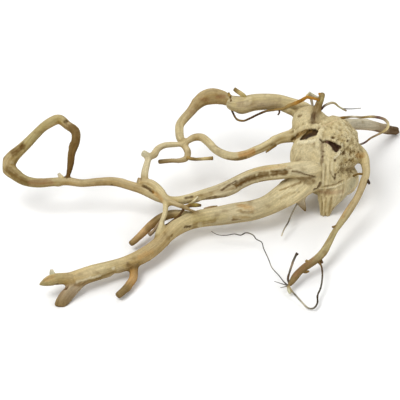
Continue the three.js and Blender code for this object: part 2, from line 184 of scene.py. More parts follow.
def add_tube(body, root, sides, drawn_in):
    """Adds the root to the body as a closed tube, slightly oval, with slow swellings.

    The tube is wider than the root by what its skin is drawn in later, and some ends are flat blades.
    """
    flat = FLAT_ENDS.get(root["name"], 1)
    rings = len(root["line"]) - 1
    tube = bmesh.new()
    bmesh.ops.create_grid(tube, x_segments=sides, y_segments=rings, size=1)
    for vert in tube.verts:
        turn = (vert.co.x + 1) * math.pi
        ring = round((vert.co.y + 1) / 2 * rings)
        far = root["walked"][ring] / MM
        swell = 1 + 0.03 * math.sin(far / SWELLING_LENGTH + root["seed"] * 2.3)
        oval = 1 + 0.05 * math.cos(2 * turn + root["seed"] + far / 60)
        out = root["line"][ring, 3] * swell * oval + drawn_in
        across = math.cos(turn) * root["beside"][ring] + math.sin(turn) * root["over"][ring]
        across[1] *= 1 + (flat - 1) * ring / rings
        vert.co = root["line"][ring, :3] + across * out
    bmesh.ops.remove_doubles(tube, verts=tube.verts, dist=1e-7)
    bmesh.ops.holes_fill(tube, edges=[e for e in tube.edges if e.is_boundary], sides=0)
    bmesh.ops.recalc_face_normals(tube, faces=tube.faces)
    part = bpy.data.meshes.new(root["name"])
    tube.to_mesh(part)
    tube.free()
    body.from_mesh(part)
    bpy.data.meshes.remove(part)


thick_roots = []
for seed, (name, knots) in enumerate(THICK_ROOTS.items()):
    thick_roots.append(root_of(name, knots, seed, RING_STEP))
wood = bmesh.new()
for root in thick_roots:
    add_tube(wood, root, ROUND_SIDES, DRAWN_IN)

# The crown, where all the roots met under the shrub's stem, and the leg that it stands on: the same
# bare wood. The crown is a ball pushed out to seven blended swellings, and the leg is a fluted tube
# with an oval section, sunk in the crown.
CROWN_MIDDLE = np.array([2, 52, 60]) * MM
SWELLINGS = [                  # x, y, z and the three radii, in millimetres
    [0, 52, 56, 35, 42, 48],
    [-19, 78, 84, 23, 26, 25],
    [-19, 37, 64, 26.2, 28, 31],
    [16, 57, 75, 25, 30, 29],
    [25, 52, 62, 20.5, 27, 17.5],
    [19, 34, 32, 24, 24, 20.4],
    [-2, 30, 40, 26, 24, 24],
]
SWELLING_BLEND = 9             # a high figure gives sharper valleys between swellings
LEG = [                        # z, x, y, half width and half depth of the leg, in millimetres
    [-3, -0.5, 0.5, 7.2, 6], [3, -1, 1, 7.6, 6], [10, 0.9, 3, 9.8, 7], [16, 3.5, 6, 13, 9],
    [23, 7, 11, 18, 12], [30, 10, 17, 24, 15], [38, 9, 26, 25, 18],
]
LEG_SIDES = 40
LEG_RINGS = 20
LEG_SEED = 60                  # turns the leg's noise away from that of the roots


def crown_reach(rays):
    """How far the crown's skin is from its middle along each unit ray."""
    total = np.zeros(len(rays))
    for swelling in np.array(SWELLINGS, float) * MM:
        middle, radii = swelling[:3], swelling[3:]
        start = (CROWN_MIDDLE - middle) / radii
        along = rays / radii
        square = (along**2).sum(1)
        half = along @ start
        left = half**2 - square * (start @ start - 1)
        out = np.where(left > 0, (np.sqrt(np.maximum(left, 0)) - half) / square, 0)
        total += (np.maximum(out, 1e-6) / MM) ** SWELLING_BLEND
    return total ** (1 / SWELLING_BLEND) * MM


ball = bmesh.new()
bmesh.ops.create_icosphere(ball, subdivisions=6, radius=1)
rays = np.array([vert.co for vert in ball.verts])
rays /= np.linalg.norm(rays, axis=1)[:, None]
for vert, ray, out in zip(ball.verts, rays, crown_reach(rays)):
    vert.co = CROWN_MIDDLE + ray * out
crown_part = bpy.data.meshes.new("crown_part")
ball.to_mesh(crown_part)
ball.free()
wood.from_mesh(crown_part)

leg_knots = np.array(LEG, float)
leg = bmesh.new()
bmesh.ops.create_grid(leg, x_segments=LEG_SIDES, y_segments=LEG_RINGS, size=1)
for vert in leg.verts:
    turn = (vert.co.x + 1) * math.pi
    place = (vert.co.y + 1) / 2 * (len(LEG) - 1)
    z, x, y, wide, deep = [np.interp(place, range(len(LEG)), leg_knots[:, k]) for k in range(5)]
    flute = 1 + 0.05 * math.cos(7 * turn + z / 9) + 0.03 * math.cos(11 * turn)
    vert.co = np.array([x + math.cos(turn) * wide * flute, y + math.sin(turn) * deep * flute, z]) * MM
bmesh.ops.remove_doubles(leg, verts=leg.verts, dist=1e-7)
bmesh.ops.holes_fill(leg, edges=[e for e in leg.edges if e.is_boundary], sides=0)
bmesh.ops.recalc_face_normals(leg, faces=leg.faces)
leg.to_mesh(crown_part)
leg.free()
wood.from_mesh(crown_part)
bpy.data.meshes.remove(crown_part)
leg_line = [[x, y, z, (wide + deep) / 2] for z, x, y, wide, deep in LEG]
leg_root = root_of("leg", leg_line, LEG_SEED, RING_STEP)

# One skin round all of it, as the wood grew. The joints between the roots are rounded, the hollows
# in the crown are worn in, and the wood is cut flat where it stands on the ground.
ROUGH_VOXEL = 1.25 * MM
SKIN_VOXEL = 1.39 * MM
FILLET = 7 * MM                # how wide the rounding at a joint runs
FILLET_WEIGHT = 0.6            # how strongly a joint is rounded in each round
FILLET_ROUNDS = 30
HOLLOW_REACH = 17 * MM         # how far in front of or behind its line a hollow is worn in
BEYOND_RIM = 9.0               # shares of the way to the rim, for spots that a hollow doesn't reach
FAR = 1.0                      # metres, for spots that no root or mark is near
NEAR_ROOT = 12 * MM            # how far outside a root its surface pattern is still worked out
BATCH = 4000                   # spots that are measured together
# A hollow's floor paint is the dark wood there, deepened with painted shade.
HOLLOWS = {                    # path as [x, y, z, half width], depth in millimetres, the floor's paint
    "slit": [[[-32.5, 36.5, 88.8, 1.9], [-28.5, 36, 92.8, 3.1], [-22.5, 36.5, 96.6, 4.6],
              [-16.2, 37, 99.2, 4.6], [-13.2, 38, 99.6, 2.4]], 13, "hollow"],
    "brow_recess": [[[-42, 57, 76, 2], [-36, 54, 83.5, 3.6], [-28, 50, 91.5, 3.8], [-20, 46, 97, 3]],
                    3.5, "umber"],
    "deep_hole": [[[0, 26, 92.5, 1.4], [5, 25.5, 89.5, 3.4], [11.5, 24, 84.5, 4.8], [11, 23, 80.5, 3]],
                  11, "plum"],
}
LOOK_DOWN = math.radians(35)   # the photograph looks down on the root by this much


def skin_of(mesh, voxel):
    """An even closed skin round everything in the mesh."""
    holder = bpy.data.objects.new("holder", mesh)
    bpy.context.collection.objects.link(holder)
    skin = holder.modifiers.new("skin", "REMESH")
    skin.mode = "VOXEL"
    skin.voxel_size = voxel
    depsgraph = bpy.context.evaluated_depsgraph_get()
    made = bpy.data.meshes.new_from_object(holder.evaluated_get(depsgraph))
    bpy.data.objects.remove(holder)
    return made


def biggest_shell(mesh):
    """The mesh without the closed pockets that a skin leaves inside."""
    whole = bmesh.new()
    whole.from_mesh(mesh)
    unseen = set(whole.verts)
    shells = []
    while unseen:
        front = [unseen.pop()]
        shell = list(front)
        while front:
            vert = front.pop()
            for edge in vert.link_edges:
                other = edge.other_vert(vert)
                if other in unseen:
                    unseen.remove(other)
                    front.append(other)
                    shell.append(other)
        shells.append(shell)
    shells.sort(key=len)
    scraps = [vert for shell in shells[:-1] for vert in shell]
    bmesh.ops.delete(whole, geom=scraps, context="VERTS")
    whole.to_mesh(mesh)
    whole.free()
    return mesh


def spots_of(mesh):
    """The places of the mesh's vertices, one row for each."""
    spots = np.empty(len(mesh.vertices) * 3)
    mesh.vertices.foreach_get("co", spots)
    return spots.reshape(-1, 3)


def outward(mesh):
    """The way out of the wood at each vertex."""
    ways = np.empty(len(mesh.vertices) * 3)
    mesh.vertex_normals.foreach_get("vector", ways)
    return ways.reshape(-1, 3)


def move_to(mesh, spots):
    """Moves the mesh's vertices to the spots."""
    mesh.vertices.foreach_set("co", spots.ravel())
    mesh.update()


def relaxed(mesh, weight, rounds):
    """The mesh's places drawn towards their neighbours' middle, as far as the weight says."""
    pairs = np.empty(len(mesh.edges) * 2, int)
    mesh.edges.foreach_get("vertices", pairs)
    one, other = pairs.reshape(-1, 2).T
    spots = spots_of(mesh)
    count = np.bincount(pairs, minlength=len(spots))
    for _ in range(rounds):
        for k in range(3):
            column = spots[:, k].copy()
            total = np.bincount(one, column[other], len(spots))
            total += np.bincount(other, column[one], len(spots))
            spots[:, k] += weight * (total / count - column)
    return spots


def place_on(root, spots):
    """How far each spot is outside the root, and its place across and along the root's grain."""
    line = root["line"]
    margin = line[:, 3].max() + NEAR_ROOT
    low = line[:, :3].min(0) - margin
    high = line[:, :3].max(0) + margin
    near = np.flatnonzero(((spots > low) & (spots < high)).all(1))
    gap = np.full(len(spots), FAR)
    place = np.zeros((len(spots), 3))
    for part in np.array_split(near, len(near) // BATCH + 1):
        away = np.linalg.norm(spots[part, None] - line[None, :, :3], axis=2)
        at = away.argmin(1)
        off = spots[part] - line[at, :3]
        along = (off * root["ahead"][at]).sum(1)
        across = (off * root["beside"][at]).sum(1)
        over = (off * root["over"][at]).sum(1)
        past = np.where(at == 0, -along, np.where(at == len(line) - 1, along, 0))
        out = np.hypot(across, over) - line[at, 3]
        gap[part] = np.where(past > 0, np.hypot(past, np.maximum(out, 0)), out)
        place[part] = np.column_stack([across, over, root["walked"][at] + along])
    return gap, place


def crown_gap(spots):
    """How far each spot is outside the crown."""
    rays = spots - CROWN_MIDDLE
    away = np.linalg.norm(rays, axis=1)
    return away - crown_reach(rays / np.maximum(away, 1e-9)[:, None])


def gaps_of(roots, spots):
    """How far each spot is outside every root, and its place on each, with the crown as the last."""
    found = [place_on(root, spots) for root in roots]
    gaps = np.array([gap for gap, _ in found] + [crown_gap(spots)])
    places = [place for _, place in found] + [spots]
    return gaps, places


def eased(value, start, end):
    """0 before start, 1 after end, and a smooth rise between them."""
    t = np.clip((value - start) / (end - start), 0, 1)
    return t * t * (3 - 2 * t)


rough = bpy.data.meshes.new("rough_wood")
wood.to_mesh(rough)
wood.free()
rough = biggest_shell(skin_of(rough, ROUGH_VOXEL))
grown = thick_roots + [leg_root]
gaps, _ = gaps_of(grown, spots_of(rough))
second = np.sort(gaps, axis=0)[1]
at_joint = 1 - eased(second, 0, FILLET)
move_to(rough, relaxed(rough, FILLET_WEIGHT * at_joint + 0.05, FILLET_ROUNDS))

spots = spots_of(rough)
ways = outward(rough)
sight = np.array([0, math.cos(LOOK_DOWN), -math.sin(LOOK_DOWN)])
picture = np.array([[1, 0, 0], [0, math.sin(LOOK_DOWN), math.cos(LOOK_DOWN)]])


def rim_of(spots, path):
    """How far each spot is from a hollow's middle line, as a share of the way to its ragged rim."""
    path = np.array(path, float) * MM
    seen = spots @ picture.T
    out = np.full(len(spots), BEYOND_RIM)
    for start, end in zip(path[:-1], path[1:]):
        along = picture @ (end - start)[:3]
        t = np.clip((seen - picture @ start[:3]) @ along / (along @ along), 0, 1)
        middle = start + t[:, None] * (end - start)
        away = np.linalg.norm(seen - middle[:, :3] @ picture.T, axis=1) / middle[:, 3]
        away[np.abs((spots - middle[:, :3]) @ sight) > HOLLOW_REACH] = BEYOND_RIM
        out = np.minimum(out, away)
    near = np.flatnonzero(out < 1.7)
    out[near] *= [1 + 0.35 * noise.noise(spots[i] * 230) for i in near]
    return out


for path, depth, _ in HOLLOWS.values():
    out = rim_of(spots, path)
    worn = (out < 1) & (ways @ sight < 0.1)
    spots[worn] += np.outer(depth * MM * np.sqrt(1 - out[worn] ** 2), sight)
move_to(rough, spots)

ground = bmesh.new()
ground.from_mesh(rough)
everything = ground.verts[:] + ground.edges[:] + ground.faces[:]
bmesh.ops.bisect_plane(ground, geom=everything, plane_co=(0, 0, 0), plane_no=(0, 0, 1),
                       clear_inner=True)
bmesh.ops.holes_fill(ground, edges=[e for e in ground.edges if e.is_boundary], sides=0)
ground.to_mesh(rough)
ground.free()
skin = biggest_shell(skin_of(rough, SKIN_VOXEL))

# The surface of the bare wood: every root has its own tones along its length, with grain ridges that
# wind along it, furrows and knots, and the crown's right side is pitted and porous. Each mark is
# painted along a path of places in millimetres, and many are raised or sunk as well. Light and shade
# are painted in too: tops and ridges lighter, undersides, creases and hollows darker.
PAINTS = {
    "straw": (0.65, 0.545, 0.305), "khaki": (0.50, 0.39, 0.175), "pale": (0.78, 0.70, 0.47),
    "tan": (0.34, 0.225, 0.075), "umber": (0.205, 0.126, 0.036), "olive": (0.30, 0.225, 0.055),
    "ochre": (0.42, 0.20, 0.03), "rust": (0.27, 0.125, 0.055), "stone": (0.30, 0.215, 0.125),
    "sage": (0.48, 0.455, 0.30), "grey": (0.48, 0.425, 0.31), "smoke": (0.12, 0.105, 0.08),
    "plum": (0.12, 0.062, 0.058), "brown": (0.115, 0.058, 0.013), "bark": (0.085, 0.044, 0.018),
    # The near-black paint named hollow is mostly painted shade, for the deepest hollows, pits and cracks.
    "dark": (0.05, 0.028, 0.014), "hollow": (0.02, 0.008, 0.009),
}
TONES = {                      # from the start of each root to its end
    "great_root": "straw straw straw khaki khaki khaki tan tan khaki tan",
    "fork_foot": "tan umber stone umber", "fork_snag": "tan olive",
    "low_stub": "umber umber ochre umber umber", "back_stub": "khaki tan umber ochre umber",
    "middle_root": "straw straw khaki khaki khaki khaki tan tan tan olive tan olive tan umber brown",
    "fork_arm": "tan khaki tan umber", "fork_prop": "khaki khaki", "upright_twig": "tan khaki khaki",
    "twig_stub": "khaki sage", "wavy_root": "straw khaki khaki khaki khaki tan khaki tan",
    "upper_root": "straw khaki khaki khaki", "upper_bend": "tan tan tan khaki tan umber",
    "break_knob": "tan", "back_root": "straw grey grey stone stone",
    "down_root": "straw khaki tan tan olive olive umber umber",
    "stick": "umber brown umber umber olive umber", "crown_spike": "straw grey stone umber",
    "rear_stub": "khaki tan umber", "under_stub": "khaki umber",
    "leg": "khaki khaki straw straw",
}
USUAL_RIDGED = 0.9             # how ridged a root is, with the exceptions below
RIDGED = {"great_root": 0.2, "middle_root": 1.3, "leg": 1.8, "upper_root": 0.6, "down_root": 1.1}
MARKS = {                      # path, width in millimetres, height in millimetres, paint, share of paint
    "scar": [[[-177, -60, 25], [-171, -57, 23]], 2.6, -0.8, "dark", 0.8],
    "ochre_patch": [[[-111, -36, 39], [-103, -37, 38], [-96, -38, 36]], 4.6, 0, "ochre", 0.65],
    "patch_edge": [[[-112, -42, 36], [-103, -43, 34], [-94, -42, 33]], 2.6, -0.3, "umber", 0.6],
    "great_knot": [[[-72, -30, 30], [-65, -25, 28]], 5, 0.6, "umber", 0.7],
    "great_line": [[[-119, -48, 27], [-110, -45, 26]], 2, -0.5, "brown", 0.75],
    "great_stripe": [[[-118, -47, 30], [-102, -44, 28], [-82, -34, 24]], 2.6, -0.3, "tan", 0.6],
    "great_low": [[[-165, -55, 26], [-152, -53, 26], [-141, -51, 28]], 4, -0.2, "umber", 0.55],
    "great_band": [[[-165, -52, 30], [-146, -51, 30], [-128, -49, 32]], 5, 0, "olive", 0.35],
    "fold_a": [[[-34, -3, 51], [-47, -8, 50], [-60, -12, 46]], 2.4, -1, "tan", 0.5],
    "fold_b": [[[-36, -9, 41], [-48, -15, 43], [-59, -22, 40]], 2.4, -0.6, "tan", 0.3],
    "fold_c": [[[-40, -8, 52], [-39, -10, 44], [-42, -12, 36]], 2.4, 0.8, "straw", 0.4],
    "snout_ochre": [[[-334, -163, 25], [-328, -160, 26]], 5, 0, "ochre", 0.55],
    "fork_notch": [[[-324, -163, 17], [-318, -165, 16], [-313, -167, 17]], 3, -1.6, "dark", 0.85],
    "foot_rust": [[[-318, -172, 12], [-313, -166, 15]], 6, 0, "rust", 0.3],
    # A raised ridge with a painted highlight along it, and painted shade just under it.
    "low_ridge_highlight": [[[-301, -159, 19], [-288, -152, 19], [-275, -145, 17]], 2.4, 0.7, "pale", 0.35],
    "ridge_shade": [[[-303, -162, 15], [-289, -156, 14], [-276, -149, 13]], 2.4, -0.6, "umber", 0.4],
    "rust_streak": [[[-290, -149, 21], [-278, -143, 20]], 3.5, 0, "rust", 0.35],
    "pale_nub": [[[-260, -135, 19]], 3, 0.5, "pale", 0.6],
    "stub_knot": [[[-244, -128, 20], [-238, -130, 16], [-233, -126, 16]], 4.5, 0.8, "brown", 0.65],
    "stub_ring": [[[-241, -133, 12], [-234, -131, 12]], 2, -0.6, "brown", 0.6],
    "spot_a": [[[-222, -97, 25]], 2.6, -0.3, "brown", 0.6],
    "spot_b": [[[-192, -76, 24]], 2.6, -0.3, "brown", 0.7],
    "ochre_band": [[[-230, -118, 23], [-217, -108, 23]], 5, 0, "ochre", 0.4],
    "stub_orange": [[[-236, -134, 13], [-238, -147, 11]], 6.5, 0, "ochre", 0.35],
    "middle_groove": [[[-112, -17, 57], [-102, -10, 60], [-91, -6, 61], [-79, -5, 64], [-66, -4, 66],
                       [-54, -4, 67]], 5.4, -2, "brown", 0.85],
    "groove_fibre_a": [[[-89, -5, 64], [-88, -6, 55]], 2, 1.2, "khaki", 0.7],
    "groove_fibre_b": [[[-73, -3, 67], [-71, -5, 61]], 2, 1.2, "khaki", 0.7],
    "middle_shade": [[[-163, -28, 47], [-151, -26, 48], [-138, -25, 53], [-127, -23, 54], [-113, -18, 55]],
                     3.6, -0.4, "umber", 0.6],
    "middle_line": [[[-151, -26, 44], [-140, -26, 47], [-127, -23, 46]], 1.8, -0.5, "brown", 0.6],
    "middle_crack": [[[-132, -24, 54], [-123, -18, 59], [-114, -13, 61]], 1.7, -0.9, "bark", 0.75],
    "middle_top": [[[-91, 1, 66], [-72, 1, 70], [-54, 2, 73]], 3.5, 0, "ochre", 0.35],
    "red_line": [[[-62, 6, 71], [-48, -1, 71], [-34, -2, 67]], 1.5, -0.5, "rust", 0.6],
    "crown_crack": [[[-45, -4, 69], [-37, -4, 67], [-28, -3, 63], [-17, 3, 56]], 1.8, -1.3, "bark", 0.7],
    "crack_shade": [[[-34, -2, 61], [-26, -2, 57], [-18, 2, 53], [-15, 4, 45]], 3.6, -0.3, "brown", 0.35],
    "under_crack": [[[-35, -2, 56], [-25, -2, 50], [-19, 1, 50]], 5, -0.5, "umber", 0.5],
    "brow": [[[-37, 60, 83], [-31, 55, 93], [-22, 53, 98], [-13, 49, 102]], 6, 2.4, "khaki", 0.3],
    "rim_hole": [[[-11, 43, 101]], 2, -1.4, "plum", 0.8],
    # A raised pale lip, partly the wood's own pale colour and partly a painted highlight.
    "lip_pale_and_highlight": [[[-36, 32, 87], [-29, 27, 91], [-20, 25, 94], [-14, 26, 94]], 3.4, 1.5, "pale", 0.5],
    # A small pit painted near black, mostly as painted shade.
    "lip_pit": [[[-33, 37, 87]], 1.9, -2, "hollow", 0.9],
    "rib_pale": [[[-5, 44, 104], [-9, 37, 100], [-12, 29, 95], [-14, 21, 90]], 4.5, 1.8, "straw", 0.6],
    # A crack painted near black, mostly as painted shade.
    "crack_between": [[[-10, 27, 95], [-6, 25, 93], [-3, 26, 94], [1, 25, 92]], 2, -2.4, "hollow", 0.95],
    "crack_tail": [[[-4, 25, 93], [-2, 22, 89]], 1.3, -1, "brown", 0.8],
    "pit_a": [[[6, 29, 97]], 2.9, -1.8, "bark", 0.9], "pit_b": [[[25, 32, 90]], 2.1, -1.6, "bark", 0.9],
    "pit_c": [[[21, 23, 78], [19, 21, 78]], 3, -2, "bark", 0.85],
    "pit_d": [[[-6, 17, 84]], 2, -1, "bark", 0.8], "pit_e": [[[-7, 13, 79]], 1.8, -0.8, "bark", 0.7],
    "pit_f": [[[9, 14, 73]], 2.4, -1.4, "bark", 0.8], "pit_g": [[[28, 30, 78]], 1.6, -1, "bark", 0.8],
    "pit_h": [[[32, 30, 74]], 1.4, -1, "bark", 0.8],
    "strand": [[[18, 26, 90], [18, 26, 82], [13, 19, 79], [8, 15, 76]], 1.7, 1.8, "pale", 0.8],
    "plum_strip": [[[-7, 23, 91], [-8, 17, 86], [-7, 13, 80], [-8, 10, 73]], 3.6, -0.8, "plum", 0.35],
    "v_left": [[[2, 10, 60], [5, 9, 55], [10, 7, 48]], 1.3, -1, "brown", 0.6],
    "v_right": [[[11, 9, 55], [10, 8, 50]], 2.4, -1.3, "bark", 0.7],
    "ridge_a": [[[-12, 9, 72], [-12, 7, 56], [-10, 5, 40]], 2.2, 0.7, "pale", 0.22],
    "ridge_b": [[[-6, 10, 70], [-6, 7, 54], [-6, 4, 41]], 2, 0.7, "pale", 0.22],
    "ridge_c": [[[0, 12, 75], [0, 9, 59], [-1, 4, 44]], 2.4, 0.4, "pale", 0.15],
    "ridge_d": [[[5, 12, 70], [5, 9, 55]], 2, 0.7, "pale", 0.22],
    "dark_a": [[[-16, 7, 69], [-16, 5, 55], [-15, 5, 40]], 2, -1.0, "brown", 0.45],
    "dark_b": [[[-9, 11, 75], [-8, 7, 55], [-8, 5, 42]], 1.5, -0.3, "umber", 0.25],
    "dark_c": [[[-3, 10, 71], [-3, 6, 49]], 1.4, -0.3, "umber", 0.2],
    "foot_crack": [[[-17, 2, 38], [-13, 5, 38], [-10, 5, 42], [-9, 5, 45]], 2.9, -1.6, "bark", 0.8],
    "curved_rib": [[[-11, 6, 37], [-4, 4, 37], [5, 5, 38], [14, 8, 40], [21, 12, 41], [30, 17, 44]],
                   1.3, 0.9, "pale", 0.6],
    "rib_shade": [[[-4, 4, 40], [5, 5, 41], [14, 8, 43], [21, 12, 45]], 1.6, -0.7, "umber", 0.4],
    "foot_rust_band": [[[-8, 7, 31], [4, 4, 31], [18, 5, 32]], 4, 0, "rust", 0.4],
    "left_crack": [[[-42, 33, 76], [-43, 30, 73]], 1.8, -0.8, "umber", 0.7],
    "top_spot": [[[-34, 73, 101], [-31, 71, 103]], 3.4, -0.8, "brown", 0.6],
    "seam": [[[-6, 43, 103], [3, 49, 105], [12, 54, 105], [15, 69, 99]], 2.4, 1.2, "ochre", 0.4],
    "side_patch": [[[37, 34, 68], [46, 41, 62]], 6, 0, "ochre", 0.6],
    "back_under": [[[30, 100, 61], [47, 117, 51], [66, 141, 35], [84, 159, 21]], 5.5, 0, "rust", 0.5],
    "back_end": [[[96, 176, 12], [106, 182, 9], [114, 190, 6]], 12, 0, "bark", 0.48],
    "leg_stripe_a": [[[-7, 3, 25], [-6, -2, 12], [-5.5, -4, 0]], 2, -0.8, "brown", 0.29],
    "leg_stripe_b": [[[-1, 1, 25], [-2, -4, 11], [-1, -5, 0]], 1.5, -0.6, "brown", 0.29],
    "leg_stripe_c": [[[6, 0, 27], [4, -3.5, 12], [4, -4.5, 0]], 2, -0.6, "umber", 0.39],
    "stick_stripe": [[[-15, 60, 108], [-13.5, 70, 113], [-11, 78, 118], [-8, 81, 125]],
                     2.6, -0.2, "brown", 0.6],
    "stick_base": [[[-18, 54, 103], [-17, 62, 107], [-15, 66, 112]], 6, -0.3, "bark", 0.7],
    "ring_crack": [[[-120, 131, 99], [-119, 111, 102], [-116, 105, 96], [-110, 105, 86]],
                   2, -1.8, "brown", 0.8],
    "hatched": [[[-116, 112, 102], [-112, 104, 96], [-106, 102, 90]], 4, 0, "umber", 0.4],
    "upper_pink": [[[-108, 101, 101], [-92, 101, 100], [-74, 102, 101], [-58, 100, 101]],
                   7, 0, "stone", 0.6],
    "upper_low": [[[-103, 100, 92], [-88, 101, 95], [-71, 102, 97], [-54, 99, 101]],
                  3, 0, "umber", 0.5],
    "bend_orange_a": [[[-156, 131, 91], [-148, 131, 90]], 4, 0, "rust", 0.45],
    "bend_orange_b": [[[-136, 130, 95], [-127, 126, 97]], 4, 0, "rust", 0.5],
    "bend_orange_c": [[[-171, 115, 83], [-166, 117, 79]], 3.5, 0, "rust", 0.4],
    "back_bark": [[[101, 178, 17], [114, 188, 8]], 10, 0.4, "bark", 0.54],
    "back_line": [[[75, 153, 31], [82, 158, 25], [93, 167, 17]], 2, -0.3, "bark", 0.7],
    "wavy_orange": [[[-107, 26, 73], [-99, 28, 74], [-92, 31, 74]], 7, 0, "ochre", 0.95],
    "wavy_shade": [[[-122, 27, 67], [-112, 24, 68], [-103, 26, 69]], 4, -0.3, "umber", 0.75],
    "wavy_spot": [[[-69, 46, 74], [-64, 48, 74]], 2.4, -0.6, "bark", 0.75],
    "loop_dark_a": [[[-389, 24, 79], [-384, 27, 82], [-380, 29, 84]], 7.5, 0, "brown", 0.7],
    "loop_dark_b": [[[-395, 6, 64], [-386, -1, 58], [-373, -7, 53]], 6.5, -0.2, "brown", 0.6],
    "loop_rust": [[[-366, -7, 53], [-356, -6, 54], [-345, -5, 53]], 6.5, 0, "rust", 0.55],
    "loop_right": [[[-316, 44, 102], [-313, 41, 99], [-314, 31, 85], [-316, 19, 70], [-320, 8, 59]],
                   9, 0, "brown", 0.6],
    "loop_top": [[[-362, 44, 100], [-349, 48, 108], [-338, 51, 111], [-329, 51, 110]],
                 7, 0, "olive", 0.6],
    "loop_spot": [[[-325, 49, 108]], 4, -0.5, "dark", 0.8],
    "left_top_spot": [[[-268, 1, 45]], 2.6, -0.3, "dark", 0.5],
    "fork_slot": [[[-228, -9, 50], [-222, -14, 49], [-216, -20, 48]], 2.4, -1.2, "dark", 0.8],
    "fork_ochre": [[[-216, -17, 48], [-210, -25, 47], [-205, -32, 45]], 4, 0, "ochre", 0.55],
    "splice": [[[-176, -30, 47], [-168, -28, 47]], 2.6, -0.8, "bark", 0.7],
    "down_orange": [[[24, -28, 38], [22, -33, 36], [13, -52, 33]], 3, 0, "ochre", 0.55],
    "down_dark": [[[6, -64, 30], [-3, -84, 26], [-13, -98, 22]], 2.2, 0, "umber", 0.6],
    "tip_brown": [[[-26, -116, 19], [-37, -126, 17], [-48, -141, 15]], 5, 0, "rust", 0.45],
}
POROUS = [[20, 27, 88], [30, 30, 80], [32, 27, 68], [24, 18, 58]]
POROUS_WIDTH = 19 * MM
ROUGH_SIDE = [[24, 46, 100], [36, 52, 84], [40, 44, 66]]
ROUGH_SIDE_WIDTH = 22 * MM
WEDGE = [[17, 7, 33], [26, 10, 35], [33, 15, 38]]  # the smooth grey wedge beside the leg
WEDGE_WIDTH = 9 * MM
TWIST = 5                      # the grain winds round a root by this many radians a metre
PATCH_WAVES = (60, 60, 18)     # waves of noise a metre, across and along the grain
RIDGE_WAVES = (260, 260, 26)
FIBRE_WAVES = (560, 560, 45)
FURROW_WAVES = (150, 150, 13)
STREAK_WAVES = (420, 420, 28)
RIDGE_HEIGHT = 0.5 * MM
FIBRE_HEIGHT = 0.14 * MM
KNOT_HEIGHT = 1.1 * MM
FURROW_DEPTH = 0.9 * MM
FULL_RELIEF_GIRTH = 7 * MM     # thinner roots have flatter relief
PIT_DEPTH = 1.7 * MM
ROOT_BLEND = 1.6 * MM          # how softly one root's surface runs over into the next
BOX_MARGIN = 0.2 * MM          # the wood stays this far inside the solid's box


def paint_of(name):
    """A paint by its name, as red, green and blue."""
    return np.array(PAINTS[name])


def painted(tint, share, paint):
    """The tint with a share of a paint mixed in at each spot."""
    return tint + share[:, None] * (paint - tint)


def lightness(tint):
    """0 for dark wood and 1 for light wood, so that the painted highlights lighten light wood only."""
    return eased(tint[:, 1], 0.06, 0.3)


def within_box(spots, margin, floor_margin):
    """The spots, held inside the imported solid's box, with a margin of its own at the floor."""
    low = np.array(cad_low) + (margin, margin, floor_margin)
    return np.clip(spots, low, np.array(cad_high) - margin)


def tones_along(names, root, along):
    """The tone at each distance along a root whose paints are named from its start to its end."""
    tones = np.array([PAINTS[name] for name in names.split()])
    at = np.clip(along / root["walked"][-1], 0, 1) * (len(tones) - 1)
    return np.column_stack([np.interp(at, range(len(tones)), tones[:, k]) for k in range(3)])


def noise_at(spots, scale, shift=0):
    """Smooth noise from -1 to 1. The scale is one number or one for each axis."""
    return np.array([noise.noise(spot) for spot in spots * scale + shift])


def near_path(spots, streaks, path, width):
    """1 on the path and 0 further from it than the width, with an edge drawn out along the grain."""
    path = np.array(path, float) * MM
    if len(path) == 1:
        path = np.vstack([path, path + 1e-6])
    away = np.full(len(spots), FAR)
    low = path.min(0) - 2 * width
    high = path.max(0) + 2 * width
    close = np.flatnonzero(((spots > low) & (spots < high)).all(1))
    for start, end in zip(path[:-1], path[1:]):
        run = end - start
        t = np.clip((spots[close] - start) @ run / (run @ run), 0, 1)
        off = np.linalg.norm(spots[close] - start - t[:, None] * run, axis=1)
        away[close] = np.minimum(away[close], off)
    edge = close[away[close] < 1.6 * width]
    away[edge] *= 1 + 0.4 * noise_at(spots[edge], 320) + 0.45 * streaks[edge]
    return 1 - eased(away, 0.4 * width, width)


def blended(gaps, spread):
    """The share of each root at each spot, which runs over smoothly from one to the next."""
    share = np.exp(-(gaps - gaps.min(0)) / spread)
    return share / share.sum(0)


def grain_relief(place, root):
    """Height of the grain over a root, how deep in a furrow each spot is, and its wound grain."""
    turn = place[:, 2] * TWIST
    wound = np.column_stack([place[:, 0] * np.cos(turn) - place[:, 1] * np.sin(turn),
                             place[:, 0] * np.sin(turn) + place[:, 1] * np.cos(turn), place[:, 2]])
    girth = np.interp(place[:, 2], root["walked"], root["line"][:, 3]).mean()
    ridged = RIDGED.get(root["name"], USUAL_RIDGED)
    seed = root["seed"] * 7.31
    patchy = np.clip(0.55 + 0.9 * noise_at(wound, PATCH_WAVES, seed), 0, 1.3) * ridged
    flute = noise_at(wound, (0.9 / girth, 0.9 / girth, 22), seed) * 0.07 * girth * min(ridged + 0.3, 1)
    ridges = (0.4 - np.abs(noise_at(wound, RIDGE_WAVES, seed + 3))) * RIDGE_HEIGHT * patchy
    fibre = noise_at(wound, FIBRE_WAVES, seed + 5) * FIBRE_HEIGHT * min(0.3 + ridged, 1)
    furrow = eased(noise_at(wound, FURROW_WAVES, seed + 9), 0.44 - 0.14 * ridged, 0.7)
    furrow *= min(1.5 * ridged, 1)
    knots = eased(noise_at(place, 62, root["seed"]), 0.38, 0.75) * KNOT_HEIGHT
    scale = np.clip(girth / FULL_RELIEF_GIRTH, 0.35, 1)
    return flute + (ridges + fibre + knots - furrow * FURROW_DEPTH) * scale, furrow, wound


